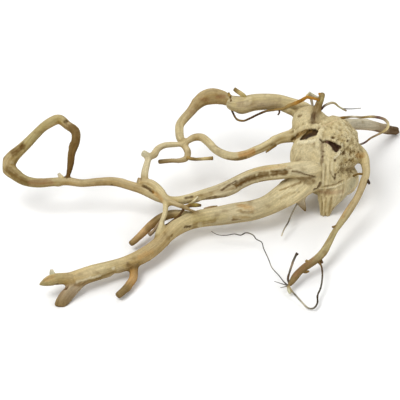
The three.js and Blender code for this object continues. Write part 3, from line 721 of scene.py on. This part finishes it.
move_to(skin, relaxed(skin, 0.5, 3))
spots = spots_of(skin)
ways = outward(skin)
gaps, places = gaps_of(grown, spots)
shares = blended(gaps, ROOT_BLEND)
height = np.zeros(len(spots))
furrows = np.zeros(len(spots))
grain = spots.copy()
tint = np.zeros((len(spots), 3))
for index, root in enumerate(grown):
    here = np.flatnonzero(shares[index] > 0.03)
    relief, furrow, wound = grain_relief(places[index][here], root)
    height[here] += shares[index][here] * relief
    furrows[here] += shares[index][here] * furrow
    tones = tones_along(TONES[root["name"]], root, places[index][here, 2])
    tint[here] += shares[index][here, None] * tones
    most = shares[index][here] >= shares[:, here].max(0)
    grain[here[most]] = wound[most]

on_crown = shares[-1]
broad = noise_at(spots, 26)
slow = noise_at(spots, 11)
crown_tone = painted(paint_of("straw"), np.clip(0.35 + broad, 0, 1), paint_of("khaki"))
tint += on_crown[:, None] * crown_tone
tint /= (shares * (shares > 0.03)).sum(0)[:, None]
still = np.zeros(len(spots))
porous = near_path(spots, still, POROUS, POROUS_WIDTH) ** 0.5 * np.clip(on_crown + shares[-2], 0, 1)
behind = eased(spots[:, 0] + 0.5 * spots[:, 1], 30 * MM, 60 * MM)
behind *= eased(spots[:, 2], 40 * MM, 60 * MM)
rough_side = near_path(spots, still, ROUGH_SIDE, ROUGH_SIDE_WIDTH) * on_crown
porous = np.maximum(porous, 0.7 * behind * on_crown)
wedge = near_path(spots, still, WEDGE, WEDGE_WIDTH)
porous *= 1 - wedge
here = np.flatnonzero(on_crown > 0.03)
soft = 1 - porous[here]
lumps = np.array([noise.turbulence(spot * 48, 3, False) for spot in spots[here]]) - 0.35
lumpy = np.maximum(porous, rough_side)[here]
nodules = noise_at(spots[here], 165)
ribs = 0.4 - np.abs(noise_at(spots[here], (130, 130, 11), 4))
low_front = eased(-spots[here, 1], -40 * MM, -22 * MM) * eased(-spots[here, 2], -84 * MM, -66 * MM)
crown_relief = lumps * (0.8 + 4 * lumpy) + nodules * (0.12 + lumpy)
crown_relief += ribs * 1.1 * low_front * soft
crown_relief += noise_at(spots[here], (210, 210, 30), 9) * 0.35 * soft
height[here] += on_crown[here] * crown_relief * (1 - 0.8 * wedge[here]) * MM
pits = np.zeros(len(spots))
for i in np.flatnonzero(porous > 0.05):
    near, _ = noise.voronoi(spots[i] * 215)
    kept = eased(noise.noise(spots[i] * 90), -0.05, 0.15)
    pits[i] = kept * (1 - eased(near[0], 0.12, 0.48)) * porous[i]
height -= pits * PIT_DEPTH

streaks = noise_at(grain, STREAK_WAVES, 2)
blotches = noise_at(spots, (70, 90, 90), 21) + 0.5 * noise_at(spots, 190, 23)
up = ways[:, 2]
mottled = noise_at(spots, 210, 31) + 0.6 * noise_at(spots, 420, 33)
spotty = (0.25 + 0.75 * np.maximum(porous, 0.6 * rough_side)) * on_crown
tint *= (1 + 0.20 * broad * (1 - on_crown) + 0.10 * streaks)[:, None]
tint = painted(tint, np.clip(slow * 1.2, 0, 0.4) * eased(tint[:, 0], 0.34, 0.5), paint_of("grey"))
# Painted light and shade: faces turned up are painted lighter, and faces turned down get a darker, shaded
# copy of their tint.
tint = painted(tint, np.clip(up - 0.35, 0, 1) * 0.18 * lightness(tint), paint_of("pale"))
tint = painted(tint, 0.5 * eased(-up, -0.35, 0.7), tint * paint_of("tan") / paint_of("khaki"))
tint = painted(tint, 1.25 * np.clip(blotches - 0.22, 0, 0.5) * (1 - on_crown), paint_of("umber"))
tint = painted(tint, 0.6 * furrows, paint_of("umber"))
tint = painted(tint, 0.3 * porous, paint_of("khaki"))
tint = painted(tint, np.clip(-mottled, 0, 0.8) * spotty, paint_of("tan"))
tint = painted(tint, np.clip(mottled - 0.2, 0, 0.6) * spotty * 0.7, paint_of("pale"))
tint = painted(tint, 0.8 * pits, paint_of("brown"))
tint = painted(tint, 0.7 * wedge * on_crown, paint_of("sage"))
for path, width, rise, paint, share in MARKS.values():
    mask = near_path(spots, streaks, path, width * MM)
    height += mask * rise * MM
    ragged = np.clip(share * mask * (1 + 0.5 * streaks + 0.35 * mottled), 0, 1)
    tint = painted(tint, ragged, paint_of(paint))
torn = noise_at(spots @ picture.T @ np.array([[1, 0, 0], [0, 0.15, 0]]), 420)
torn_fibres = 1 + 1.6 * np.clip(torn, 0, 0.4)[:, None]
# The hollows' floors are painted dark, partly the wood's own colour and partly painted shade, with paler
# torn fibres.
for path, _, paint in HOLLOWS.values():
    inside = 1 - eased(rim_of(spots, path), 0.6, 1.12)
    tint = painted(tint, 0.95 * inside, paint_of(paint) * torn_fibres)
spots += ways * height[:, None]
spots[:, 2] = np.where(spots[:, 2] < 0.5 * MM, 0, spots[:, 2])
move_to(skin, within_box(spots, BOX_MARGIN, 0))
# Painted shade and highlight: creases in the relief are painted darker brown, and its ridges are painted
# lighter.
raised = ((spots_of(skin) - relaxed(skin, 1, 8)) * outward(skin)).sum(1) / MM
tint = painted(tint, np.clip(-raised * 0.8, 0, 0.5), paint_of("brown"))
tint = painted(tint, np.clip(raised * 0.5, 0, 0.3) * lightness(tint), paint_of("pale"))


def add_node(tree, kind, **values):
    """A shader node with the given settings. A name with a leading capital is one of its sockets."""
    made = tree.nodes.new(kind)
    for name, value in values.items():
        if name[0].isupper():
            made.inputs[name.replace("_", " ")].default_value = value
        else:
            setattr(made, name, value)
    return made


def wood_finish(name, relief):
    """Dry bare wood: fine fibres along the grain over the painted tints, matt, with small pits.

    The relief is how high the fibres stand and how deep the pits go.
    """
    finish = bpy.data.materials.new(name)
    finish.use_nodes = True
    tree = finish.node_tree
    shader = tree.nodes["Principled BSDF"]
    shader.inputs["Specular IOR Level"].default_value = 0.1
    tint_in = add_node(tree, "ShaderNodeAttribute", attribute_name="tint")
    grain_in = add_node(tree, "ShaderNodeAttribute", attribute_name="grain")
    porous_in = add_node(tree, "ShaderNodeAttribute", attribute_name="porous")
    place_in = add_node(tree, "ShaderNodeTexCoord")
    drawn = add_node(tree, "ShaderNodeMapping", Scale=(1100, 1100, 55))
    fibres = add_node(tree, "ShaderNodeTexNoise", Scale=1, Detail=6, Roughness=0.6, Distortion=0.3)
    coarse = add_node(tree, "ShaderNodeMapping", Scale=(330, 330, 22))
    streaks = add_node(tree, "ShaderNodeTexNoise", Scale=1, Detail=4, Roughness=0.55, Distortion=0.4)
    tree.links.new(grain_in.outputs["Vector"], drawn.inputs["Vector"])
    tree.links.new(drawn.outputs["Vector"], fibres.inputs["Vector"])
    tree.links.new(grain_in.outputs["Vector"], coarse.inputs["Vector"])
    tree.links.new(coarse.outputs["Vector"], streaks.inputs["Vector"])
    mottle = add_node(tree, "ShaderNodeTexNoise", Scale=420, Detail=5, Roughness=0.65)
    tree.links.new(place_in.outputs["Object"], mottle.inputs["Vector"])

    def ramped(source, dark, light):
        ramp = add_node(tree, "ShaderNodeMapRange", From_Min=0.3, From_Max=0.7, To_Min=dark, To_Max=light)
        tree.links.new(source, ramp.inputs["Value"])
        return ramp.outputs["Result"]

    def times(one, other):
        made = add_node(tree, "ShaderNodeMath", operation="MULTIPLY")
        tree.links.new(one, made.inputs[0])
        tree.links.new(other, made.inputs[1])
        return made.outputs["Value"]

    shade = times(ramped(fibres.outputs["Fac"], 0.84, 1.12), ramped(streaks.outputs["Fac"], 0.80, 1.14))
    shade = times(shade, ramped(mottle.outputs["Fac"], 0.86, 1.10))
    shaded = add_node(tree, "ShaderNodeVectorMath", operation="SCALE")
    tree.links.new(tint_in.outputs["Color"], shaded.inputs[0])
    tree.links.new(shade, shaded.inputs["Scale"])

    cells = add_node(tree, "ShaderNodeTexVoronoi", Scale=520, Randomness=1)
    tree.links.new(place_in.outputs["Object"], cells.inputs["Vector"])
    pit = add_node(tree, "ShaderNodeMapRange", From_Min=0.12, From_Max=0.42, To_Min=1, To_Max=0)
    tree.links.new(cells.outputs["Distance"], pit.inputs["Value"])
    pitted = times(pit.outputs["Result"], porous_in.outputs["Fac"])
    darker = add_node(tree, "ShaderNodeMix", data_type="RGBA")
    darker.inputs["B"].default_value = (*PAINTS["brown"], 1)
    tree.links.new(pitted, darker.inputs["Factor"])
    tree.links.new(shaded.outputs["Vector"], darker.inputs["A"])
    tree.links.new(darker.outputs["Result"], shader.inputs["Base Color"])

    rough = ramped(streaks.outputs["Fac"], 0.92, 0.72)
    tree.links.new(rough, shader.inputs["Roughness"])
    raised_fibres = times(ramped(fibres.outputs["Fac"], 0, 1), ramped(mottle.outputs["Fac"], 0.6, 1))
    lifted = add_node(tree, "ShaderNodeMath", operation="SUBTRACT")
    tree.links.new(raised_fibres, lifted.inputs[0])
    tree.links.new(pitted, lifted.inputs[1])
    bump = add_node(tree, "ShaderNodeBump", Strength=0.8, Distance=relief)
    tree.links.new(lifted.outputs["Value"], bump.inputs["Height"])
    tree.links.new(bump.outputs["Normal"], shader.inputs["Normal"])
    return finish


def dressed(name, mesh, tint, grain, porous, finish):
    """Gives a mesh its tints, its grain and its finish, and fixes it to the root."""
    mesh.shade_smooth()
    colours = np.column_stack([np.clip(tint, 0.01, 0.9), np.ones(len(tint))])
    mesh.attributes.new("tint", "FLOAT_COLOR", "POINT").data.foreach_set("color", colours.ravel())
    mesh.attributes.new("grain", "FLOAT_VECTOR", "POINT").data.foreach_set("vector", grain.ravel())
    mesh.attributes.new("porous", "FLOAT", "POINT").data.foreach_set("value", porous)
    mesh.materials.append(finish)
    piece = bpy.data.objects.new(name, mesh)
    bpy.context.collection.objects.link(piece)
    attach(piece, "root")
    return piece


body = dressed("spiderwood_body", skin, tint, grain, porous, wood_finish("bare_azalea_wood", 0.5 * MM))
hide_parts("spiderwood_root")

# The rootlets: thin wiry roots and short broken spurs, most of them 2 to 5 mm through, some pale and
# some still brown with bark. They are tubes like the thick roots, joined in a finer skin, and sunk in
# the wood that they grew from.
FINE_VOXEL = 0.42 * MM
WIRY_STEP = 1.5 * MM
WIRY_SIDES = 14
WIRY_DRAWN_IN = 0.15 * MM
WIRY_SEED = 70                 # the first rootlet's seed, past those of the thick roots
WIRY_MARGIN = 0.1 * MM
ROOTLETS = {                   # knots as [x, y, z, radius], in millimetres
    "snag_spur": [[-327, -157, 22, 4.4], [-329.5, -152, 26.5, 3], [-330, -149, 29, 1.8]],
    "pink_stub": [[-204, -58, 34, 2.1], [-210, -66, 30, 2.1], [-215, -71, 26, 2], [-220, -75, 24, 2.5]],
    "loop_spur": [[-329, 2, 53, 3.1], [-332, 5, 56, 2.4], [-334, 7, 58, 1.8]],
    "arm_twig": [
        [-178, -45, 42, 1.8], [-181, -47, 37, 1.5], [-187, -51, 32, 1.5], [-195, -56, 28, 1.5],
        [-203, -63, 27, 1.5]],
    "arm_wedge": [
        [-178, -44, 43, 2.2], [-170, -40, 42.5, 2.2], [-163, -37, 41, 2.4], [-157, -36, 40, 1.4]],
    "arm_splinter": [[-173, -41, 43, 1.6], [-166, -32, 44, 1.3], [-161, -27, 47, 0.9]],
    "bark_sliver": [[-154, -36, 34, 1.8], [-145, -34.5, 35.8, 1.9], [-137, -33, 36, 1.6]],
    "twig_nub": [[-234, -4, 48, 2.8], [-234, 0, 52, 2.5], [-233.5, 2, 55, 1.7]],
    "wavy_splinter": [[-63, 51, 72, 2], [-72, 43, 69.5, 1.4], [-76, 39.5, 68, 1]],
    "top_spur": [[-99, 110, 103, 3.6], [-104, 115, 107, 3], [-114.5, 123, 111, 2.5]],
    "break_spike": [[-119, 126, 97, 2.6], [-121, 130, 99.5, 1.6], [-121.5, 131.5, 101, 1]],
    "hook_twig": [[-175, 46, 56, 2.5], [-167, 41, 57, 2.1], [-155, 40, 58, 2], [-142, 40, 59, 2.4]],
    "down_spur_a": [[11, -58, 28, 2.4], [6, -63, 28, 1.7], [1, -66, 29, 1.1]],
    "down_spur_b": [[-28, -121, 16, 2.4], [-32, -120, 18, 1.8], [-34, -119, 19.5, 1.3]],
    "down_spur_c": [[-20, -110, 14, 3], [-15, -113, 13, 2.4], [-13.5, -115, 12, 1.4]],
    "down_spur_d": [[-38, -128, 11, 2.4], [-34, -129, 10, 1.8], [-30, -128, 10, 1.1]],
    "side_hook": [
        [50, 13, 49, 2], [45, 14, 51.5, 1.4], [40, 18, 50, 1.3], [36, 21, 46, 1.3], [31, 22, 42, 1.9]],
    "side_knob": [[48, 10, 48, 2.6], [51, 3, 47, 1.7], [51.5, 1, 46, 1.2]],
    "tip_bud": [[-56, -154, 8.5, 1.7], [-55, -159, 6, 1.9], [-54, -163, 5, 1.5]],
    "break_rootlet": [
        [-8, 80, 120, 1.6], [-18, 82, 122, 1.8], [-24, 85, 121, 2], [-29, 86, 117, 2.2],
        [-37, 89, 110.5, 2.2], [-44, 94, 104, 2.1], [-52, 98, 97, 1.8], [-62, 100, 94, 1.5],
        [-74, 101, 91, 1.4], [-85, 99, 87, 1.3], [-96, 97, 82, 1.2], [-103, 97, 79, 1.2],
        [-111, 101, 79, 1.2], [-116, 111, 83, 1.2], [-121, 122, 89, 1.3]],
    "rootlet_nib": [[-57, 99, 95, 1.3], [-57, 96, 92, 1.1], [-59, 92, 91, 1]],
    "arch_twig": [[-14, 82, 96, 2.2], [-16, 86, 108, 1.6], [-18, 89, 117, 1.7], [-20, 91, 124, 1.8]],
    "tent_twig": [[-19, 91, 125, 1.6], [-24, 88, 120.5, 1.9]],
    "tent_twig_right": [[-21, 92, 124, 1.6], [-13, 87, 121, 1.6], [-6, 85, 118, 1.5]],
    "stick_spur": [[-6, 85, 124, 2.2], [-8.5, 85, 126.4, 1.5], [-9.5, 85, 127, 1]],
    "right_rootlet": [
        [-9, 82, 101, 1.8], [-1, 83, 110, 1.5], [6, 83, 114, 1.5], [11, 83, 114, 1.3],
        [16, 82, 110, 1.1], [22, 82, 106, 1.1], [27, 82, 103, 1]],
    "arching_rootlet": [
        [7, 72, 90, 2.8], [15, 69, 99, 1.9], [24, 68, 102, 1.6], [34, 68, 103, 1.4],
        [45, 68, 102, 1.4], [56, 73, 100, 1.5], [67, 78, 96, 1.6], [76, 81, 91, 1.7],
        [81, 83, 84, 1.8], [81, 81, 79, 1.8], [76, 78, 75, 1.5], [69, 76, 72, 1.3],
        [59, 70, 70, 1.2], [50, 62, 68, 1.2], [40, 58, 66, 1.2]],
    "low_loop": [
        [-20, -114, 15, 1.6], [-16, -121, 14, 1.1], [-15, -131, 12.5, 1.1], [-16, -144, 11, 1],
        [-19, -159, 9, 1], [-23, -170, 7.5, 1], [-24, -181, 5.5, 1], [-27, -187, 4.2, 1.1],
        [-31, -189, 3.4, 1.1], [-36, -187, 3.8, 1], [-42, -178, 5, 0.9], [-48, -169, 6.5, 0.9],
        [-53, -160, 7.6, 1], [-56, -153, 8.8, 1.2]],
    "tip_stick": [
        [-54, -151, 9.4, 1.6], [-56, -145, 12, 1.4], [-53, -136, 18, 1.2], [-49, -126, 24, 1.3],
        [-46, -121, 28, 1.4], [-44, -119, 30, 1.9]],
    "under_rootlet": [
        [-12, 22, 30, 2], [-21, 16, 24.5, 1.5], [-28, 10, 22, 1.4], [-36, -1, 19, 1],
        [-41, -11, 17, 0.9], [-45, -20, 15, 0.9], [-50, -35, 13, 0.85], [-55, -45, 11, 0.8],
        [-59, -57, 9, 0.8]],
}
ROOTLET_TONES = {
    "snag_spur": "tan sage grey", "pink_stub": "stone", "loop_spur": "khaki grey",
    "arm_twig": "bark brown bark", "arm_wedge": "tan brown olive bark", "arm_splinter": "olive pale",
    "bark_sliver": "stone umber", "twig_nub": "khaki stone", "wavy_splinter": "umber tan",
    "top_spur": "olive khaki umber",
    "break_spike": "tan umber", "hook_twig": "tan umber khaki umber", "down_spur_a": "umber",
    "down_spur_b": "tan", "down_spur_c": "umber bark", "down_spur_d": "umber", "side_hook": "umber",
    "side_knob": "dark", "tip_bud": "umber sage sage",
    "break_rootlet": "ochre ochre ochre tan tan umber bark bark umber bark brown",
    "rootlet_nib": "bark", "arch_twig": "grey", "tent_twig": "sage khaki", "tent_twig_right": "sage grey",
    "stick_spur": "ochre", "right_rootlet": "plum plum grey khaki sage stone",
    "arching_rootlet": "straw ochre umber grey umber khaki plum stone straw khaki stone umber plum grey",
    "low_loop": "umber bark smoke smoke dark smoke grey smoke khaki",
    "tip_stick": "smoke bark smoke stone smoke dark", "under_rootlet": "grey smoke grey smoke grey",
}
rootlets = []
wiry = bmesh.new()
for seed, (name, knots) in enumerate(ROOTLETS.items()):
    rootlets.append(root_of(name, knots, WIRY_SEED + seed, WIRY_STEP))
    add_tube(wiry, rootlets[-1], WIRY_SIDES, WIRY_DRAWN_IN)
wiry_mesh = bpy.data.meshes.new("rootlets")
wiry.to_mesh(wiry_mesh)
wiry.free()
wiry_mesh = skin_of(wiry_mesh, FINE_VOXEL)
move_to(wiry_mesh, relaxed(wiry_mesh, 0.5, 3))
spots = spots_of(wiry_mesh)


def grain_of(roots, spots):
    """Which root each spot belongs to, and its place across and along that root's grain."""
    found = [place_on(root, spots) for root in roots]
    owner = np.array([gap for gap, _ in found]).argmin(0)
    return owner, np.array([place for _, place in found])[owner, np.arange(len(spots))]


owner, grain = grain_of(rootlets, spots)
height = np.zeros(len(spots))
tint = np.zeros((len(spots), 3))
for index, root in enumerate(rootlets):
    here = np.flatnonzero(owner == index)
    tint[here] = tones_along(ROOTLET_TONES[root["name"]], root, grain[here, 2])
    height[here] = 0.22 * noise_at(grain[here], 240, index)
    height[here] += 0.12 * noise_at(grain[here], (900, 900, 60), index)
tint *= (1 + 0.45 * noise_at(spots, 110))[:, None]
spots += outward(wiry_mesh) * height[:, None] * MM
move_to(wiry_mesh, within_box(spots, WIRY_MARGIN, WIRY_MARGIN))
dressed("rootlets", wiry_mesh, tint, grain, np.zeros(len(spots)), wood_finish("rootlet_wood", 0.25 * MM))

# The hair roots: the last dark threads of root, about 1 mm through, which dried in loose curves.
# They are plain thin tubes that start inside the roots that they grew from.
HAIR_STEP = 1.2 * MM
HAIR_SIDES = 8
HAIR_SEED = 110                # the first hair root's seed, past those of the rootlets
HAIR_TONE = np.array([0.085, 0.075, 0.06])
HAIRS = {                      # knots as [x, y, z, radius], in millimetres
    "long_hair": [
        [-56, -154, 9, 1.0], [-61, -149, 11, 0.7], [-66, -142, 14, 0.6], [-74, -132, 18, 0.6],
        [-78, -118, 21, 0.6], [-83, -102, 24, 0.6], [-85, -91, 25, 0.6], [-91, -85, 25, 0.7],
        [-95, -75, 24, 0.8], [-103, -68, 22, 0.8], [-109, -70, 20, 0.7], [-117, -65, 18, 0.6],
        [-127, -65, 16, 0.5], [-137, -61, 14, 0.4], [-145, -54, 14, 0.4]],
    "right_hair": [[22, 82.5, 106, 0.8], [32, 82, 106, 0.6], [45, 82, 107, 0.5]],
    "tip_whisker_a": [[-56, -154, 9, 0.7], [-64, -150, 9, 0.5], [-72, -147, 10, 0.3]],
    "tip_whisker_b": [[-56, -154, 9, 0.8], [-61, -155, 8, 0.5], [-65, -155, 7, 0.4]],
}
hair_bundle = bmesh.new()
hair_roots = []
for seed, (name, knots) in enumerate(HAIRS.items()):
    hair_roots.append(root_of(name, knots, HAIR_SEED + seed, HAIR_STEP))
    add_tube(hair_bundle, hair_roots[-1], HAIR_SIDES, 0)
hair_mesh = bpy.data.meshes.new("hair_roots")
hair_bundle.to_mesh(hair_mesh)
hair_bundle.free()
spots = spots_of(hair_mesh)
patches = np.clip(noise_at(spots, 70), 0, 0.7)[:, None]
tint = HAIR_TONE + patches * paint_of("grey")
_, grain = grain_of(hair_roots, spots)
hair_bark = wood_finish("hair_root_bark", 0.15 * MM)
dressed("hair_roots", hair_mesh, tint, grain, np.zeros(len(spots)), hair_bark)

# The studio: a plain pale floor under three broad soft lights and a white sky, and the camera, which
# looks down on the root at the photograph's angle.
FLOOR_SIZE = 12.0
bpy.ops.mesh.primitive_plane_add(size=FLOOR_SIZE, location=(-0.15, 0, 0))
floor = bpy.context.object
floor.name = "studio_floor"
paper = bpy.data.materials.new("white_paper")
paper.use_nodes = True
paper.node_tree.nodes["Principled BSDF"].inputs["Base Color"].default_value = (0.93, 0.93, 0.92, 1)
paper.node_tree.nodes["Principled BSDF"].inputs["Roughness"].default_value = 0.9
floor.data.materials.append(paper)

world = bpy.data.worlds.new("studio")
world.use_nodes = True
world.node_tree.nodes["Background"].inputs["Color"].default_value = (1, 1, 1, 1)
world.node_tree.nodes["Background"].inputs["Strength"].default_value = 0.55
bpy.context.scene.world = world


def soft_light(name, place, aim, size, power):
    """A round soft light at a place, turned to shine at the aim."""
    lamp = bpy.data.lights.new(name, "AREA")
    lamp.shape = "DISK"
    lamp.size = size
    lamp.energy = power
    holder = bpy.data.objects.new(name, lamp)
    bpy.context.collection.objects.link(holder)
    holder.location = place
    way = np.array(aim) - np.array(place)
    flat = math.hypot(way[0], way[1])
    holder.rotation_euler = (math.atan2(flat, -way[2]), 0, math.atan2(-way[0], way[1]))


soft_light("key", (-0.9, -0.5, 1.5), (-0.15, 0, 0.03), 1.0, 17)
soft_light("fill", (1.1, -0.7, 0.9), (-0.1, 0, 0.03), 1.2, 5)
soft_light("back", (0.1, 1.2, 1.2), (-0.1, 0, 0.03), 1.0, 7)

CAMERA_PLACE = (-0.15851, -1.36548, 0.97888)
lens = bpy.data.cameras.new("camera")
lens.lens = 120
lens.sensor_width = 36
camera = bpy.data.objects.new("camera", lens)
bpy.context.collection.objects.link(camera)
camera.location = CAMERA_PLACE
camera.rotation_euler = (math.radians(90) - LOOK_DOWN, 0, 0)
bpy.context.scene.camera = camera
bpy.context.scene.view_settings.view_transform = "Standard"
